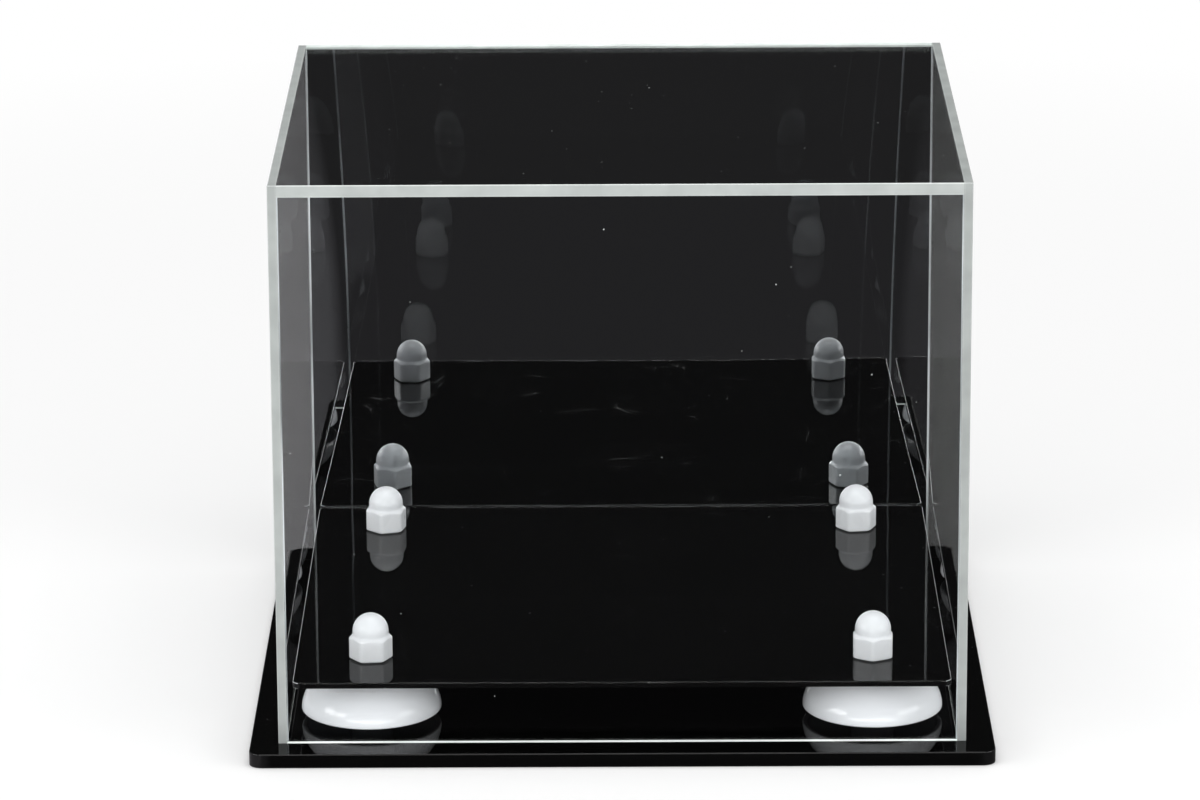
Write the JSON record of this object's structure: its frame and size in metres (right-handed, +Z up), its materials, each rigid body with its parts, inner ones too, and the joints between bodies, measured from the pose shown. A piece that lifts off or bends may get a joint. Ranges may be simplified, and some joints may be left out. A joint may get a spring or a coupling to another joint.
{
  "type": "cap display case",
  "caption": "Display case for a cap: a clear lift-off cover with a mirror back stands on a black base and over a black platform raised on white domed risers.",
  "frame": {"origin": "centre of the base plate's underside", "axes": "+X to the right across the front, +Y from the front to the mirror at the back, +Z up"},
  "size_m": [0.289, 0.2606, 0.2291],
  "materials": {
    "black_acrylic": "polished",
    "clear_acrylic": "polished",
    "mirror_acrylic": "polished",
    "white_plastic": "gloss",
    "zinc_steel": "satin"
  },
  "bodies": {
    "base": {"base_plate": "black_acrylic", "platform": "black_acrylic", "riser_front_left": "white_plastic", "riser_front_right": "white_plastic", "riser_rear_left": "white_plastic", "riser_rear_right": "white_plastic", "screw_front_left": "zinc_steel", "screw_front_right": "zinc_steel", "screw_rear_left": "zinc_steel", "screw_rear_right": "zinc_steel", "nut_front_left": "zinc_steel", "nut_front_right": "zinc_steel", "nut_rear_left": "zinc_steel", "nut_rear_right": "zinc_steel", "nut_cap_front_left": "white_plastic", "nut_cap_front_right": "white_plastic", "nut_cap_rear_left": "white_plastic", "nut_cap_rear_right": "white_plastic"},
    "cover": {"front_panel": "clear_acrylic", "left_panel": "clear_acrylic", "right_panel": "clear_acrylic", "top_panel": "clear_acrylic", "mirror_panel": "mirror_acrylic"}
  },
  "joints": [
    {"name": "cover_lift", "type": "slide", "parent": "base", "child": "cover", "axis": [0, 0, 1], "range_m": [0, 0.25]}
  ]
}
